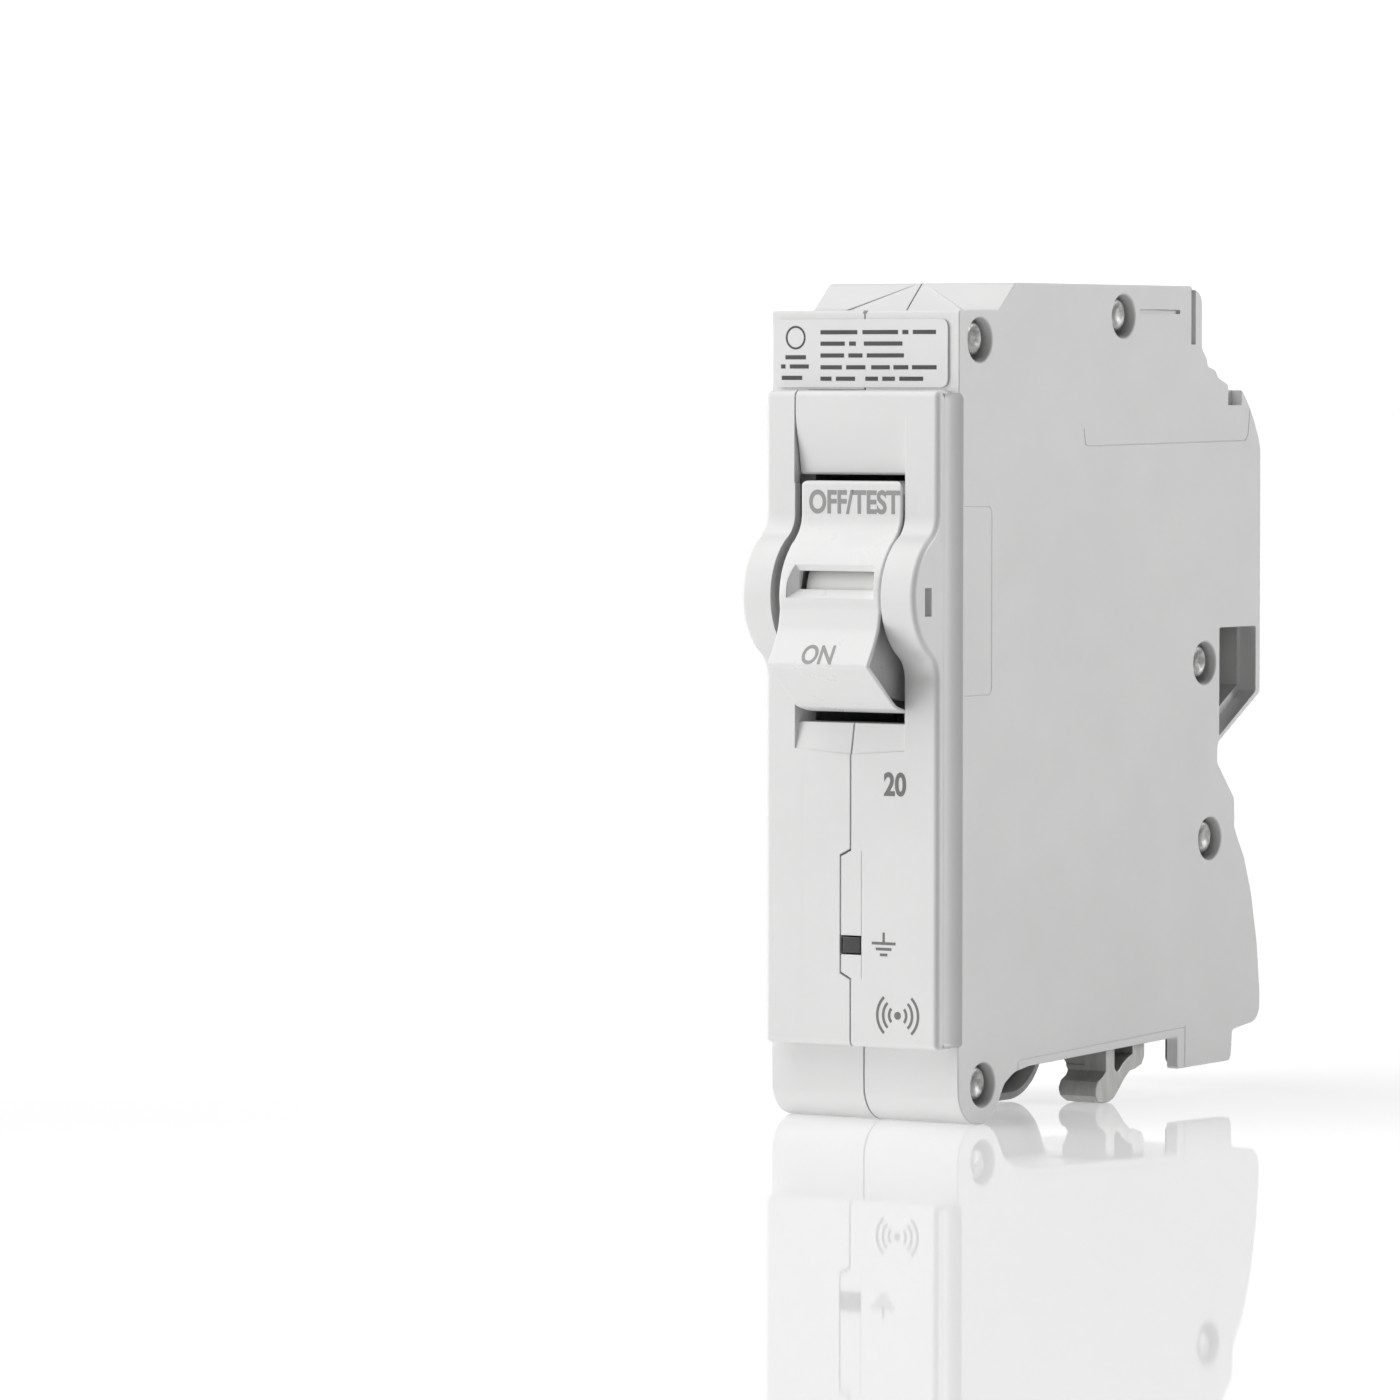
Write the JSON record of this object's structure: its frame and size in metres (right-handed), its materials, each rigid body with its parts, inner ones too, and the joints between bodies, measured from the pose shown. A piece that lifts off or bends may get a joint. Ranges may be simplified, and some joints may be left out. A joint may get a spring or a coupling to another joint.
{
  "type": "gfci breaker",
  "caption": "Plug-on single-pole ground-fault circuit breaker with a rocker handle, status slot, indicator window and spring jaws.",
  "frame": {"origin": "middle of the width and of the depth, level with the foot", "axes": "+X to the right as seen from the front, +Y from the front to the rear, +Z from the foot to the top"},
  "size_m": [0.0254, 0.0786, 0.0959],
  "materials": {
    "white_plastic": "satin",
    "handle_plastic": "satin",
    "label_film": "matte",
    "flag_plastic": "matte",
    "dark_lens": "gloss",
    "rivet_steel": "satin",
    "dark_steel": "satin",
    "steel": "satin",
    "copper": "satin",
    "silver_contact": "satin",
    "tin_plate": "satin",
    "natural_plastic": "matte",
    "dark_fibre": "matte",
    "copper_winding": "gloss",
    "blue_resin": "satin",
    "board_laminate": "satin",
    "black_component": "satin",
    "led_lens": "gloss"
  },
  "bodies": {
    "case": {"arc_frame": "dark_fibre", "arc_plate_1": "dark_steel", "arc_plate_2": "dark_steel", "arc_plate_3": "dark_steel", "arc_plate_4": "dark_steel", "arc_plate_5": "dark_steel", "arm_pivot_pin": "steel", "armature_pin": "steel", "armature_spring": "steel", "braid": "copper", "capacitor": "black_component", "case_left": "white_plastic", "case_right": "white_plastic", "circuit_board": "board_laminate", "coil_yoke": "dark_steel", "controller_chip": "black_component", "dashpot_tube": "steel", "divider_plate": "natural_plastic", "fixed_contact": "silver_contact", "front_label": "label_film", "gf_sensor": "blue_resin", "gf_solenoid": "copper_winding", "handle_pin": "steel", "led": "led_lens", "led_board": "board_laminate", "line_terminal": "copper", "load_jaw": "tin_plate", "load_strap": "copper", "mechanism_frame": "steel", "neutral_clip": "tin_plate", "neutral_sensor": "blue_resin", "opening_spring": "steel", "plunger_spring": "steel", "power_converter": "black_component", "rail_clip": "dark_steel", "rivet_foot": "rivet_steel", "rivet_rear_lower": "rivet_steel", "rivet_rear_upper": "rivet_steel", "rivet_top_front": "rivet_steel", "rivet_top_rear": "rivet_steel", "status_lens": "dark_lens", "trip_coil": "copper_winding", "trip_pin": "steel", "trip_spring": "steel", "varistor": "blue_resin", "wireless_module": "steel"},
    "handle": {"handle": "handle_plastic", "link_pin": "steel"},
    "status_flag": {"status_flag": "flag_plastic"},
    "handle_link": {"handle_link": "steel"},
    "contact_arm": {"contact_arm": "copper", "arm_pin": "steel", "moving_contact": "silver_contact"},
    "armature": {"armature": "dark_steel"},
    "gf_plunger": {"gf_plunger": "steel"},
    "trip_lever": {"trip_lever": "natural_plastic"}
  },
  "joints": [
    {"name": "handle_pivot", "type": "hinge", "parent": "case", "child": "handle", "pos_m": [0, -0.0289, 0.0602], "axis": [-1, 0, 0], "range_deg": [0, 50]},
    {"name": "flag_pivot", "type": "hinge", "parent": "case", "child": "status_flag", "pos_m": [0, -0.0289, 0.0602], "axis": [-1, 0, 0], "range_deg": [0, 32]},
    {"name": "link_pivot", "type": "hinge", "parent": "handle", "child": "handle_link", "pos_m": [0, -0.02405, 0.05899], "axis": [1, 0, 0], "range_deg": [0, 55]},
    {"name": "arm_pivot", "type": "hinge", "parent": "case", "child": "contact_arm", "pos_m": [0, 0.0091, 0.05], "axis": [1, 0, 0], "range_deg": [0, 21], "deforming": ["opening_spring", "braid"]},
    {"name": "armature_tilt", "type": "hinge", "parent": "case", "child": "armature", "pos_m": [0, -0.0037, 0.0444], "axis": [1, 0, 0], "range_deg": [0, 11], "stiffness_Nm_per_rad": 0.02, "springref_deg": -11.46, "deforming": ["armature_spring"]},
    {"name": "plunger_slide", "type": "slide", "parent": "case", "child": "gf_plunger", "axis": [0, 0, 1], "range_m": [0, 0.0017], "stiffness_N_per_m": 200, "springref_m": -0.002, "deforming": ["plunger_spring"]},
    {"name": "trip_pivot", "type": "hinge", "parent": "case", "child": "trip_lever", "pos_m": [0, 0.0011, 0.047], "axis": [1, 0, 0], "range_deg": [0, 16], "deforming": ["trip_spring"]}
  ],
  "couplings": [
    {"joint": "flag_pivot", "follows": "handle_pivot", "ratio": 0.6},
    {"joint": "link_pivot", "follows": "handle_pivot", "ratio": 1.0778},
    {"joint": "arm_pivot", "follows": "handle_pivot", "ratio": 0.4},
    {"joint": "trip_pivot", "follows": "plunger_slide", "rad_per_m": 154}
  ]
}
